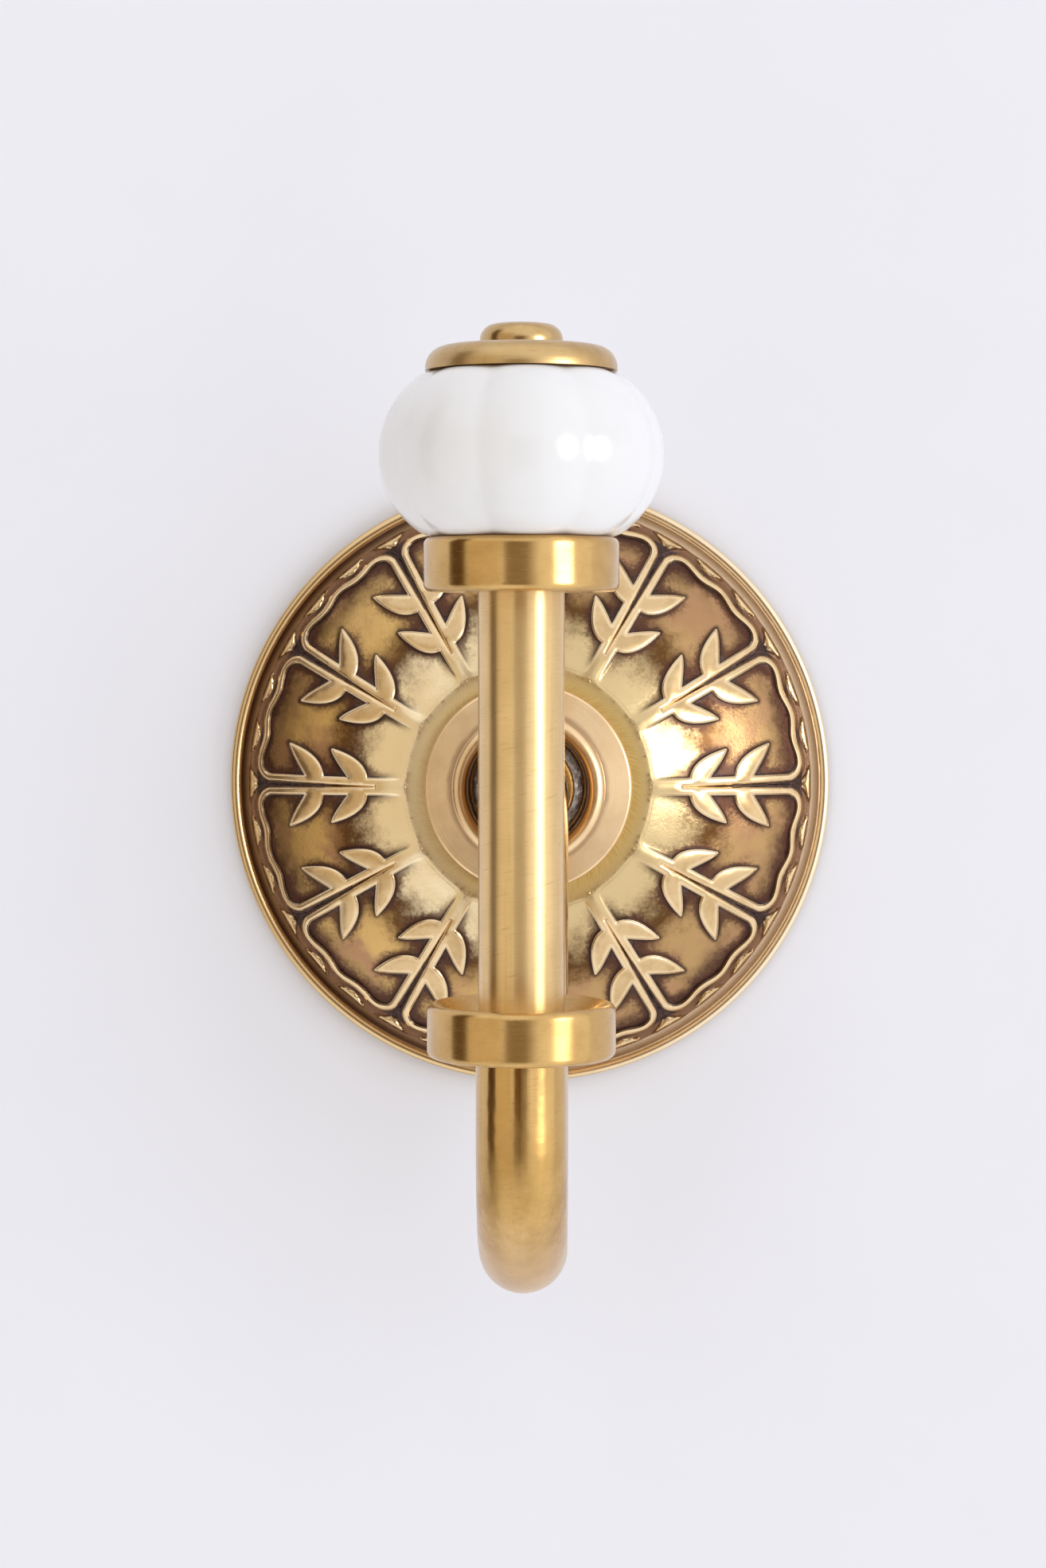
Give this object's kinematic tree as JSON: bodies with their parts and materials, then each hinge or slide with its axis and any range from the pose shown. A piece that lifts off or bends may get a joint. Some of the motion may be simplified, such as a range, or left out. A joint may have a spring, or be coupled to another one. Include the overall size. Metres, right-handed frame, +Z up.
{
  "type": "bath hook",
  "caption": "Antique brass wall hook with a domed leaf rosette, a bent bar arm and an upright post topped by a white glazed melon knob, for hanging towels and robes.",
  "frame": {"origin": "middle of the rosette's back, on the wall, at the mouth of the tapped stud hole", "axes": "-Y out of the wall towards the user, +Y into the wall, +Z up along the post, +X to the right seen from the front"},
  "size_m": [0.076, 0.0744, 0.1083],
  "materials": {
    "antique_brass_casting": "antique patina, rubbed bright on the relief",
    "turned_brass": "satin, fine turning marks",
    "bar_brass": "satin, brushed lengthwise",
    "plain_brass": "as machined",
    "solder": "rough, dull grey",
    "white_glaze": "glossy white glaze"
  },
  "bodies": {
    "root": {"rosette": "antique_brass_casting", "arm_socket": "turned_brass", "backing_washer": "plain_brass", "retaining_nut": "plain_brass", "hook_arm": "bar_brass", "solder_fillet": "solder", "lower_collar": "turned_brass", "post_tube": "bar_brass", "upper_collar": "turned_brass", "ceramic_knob": "white_glaze", "top_cap": "turned_brass", "finial_nut": "turned_brass", "tie_rod": "plain_brass"}
  },
  "joints": []
}
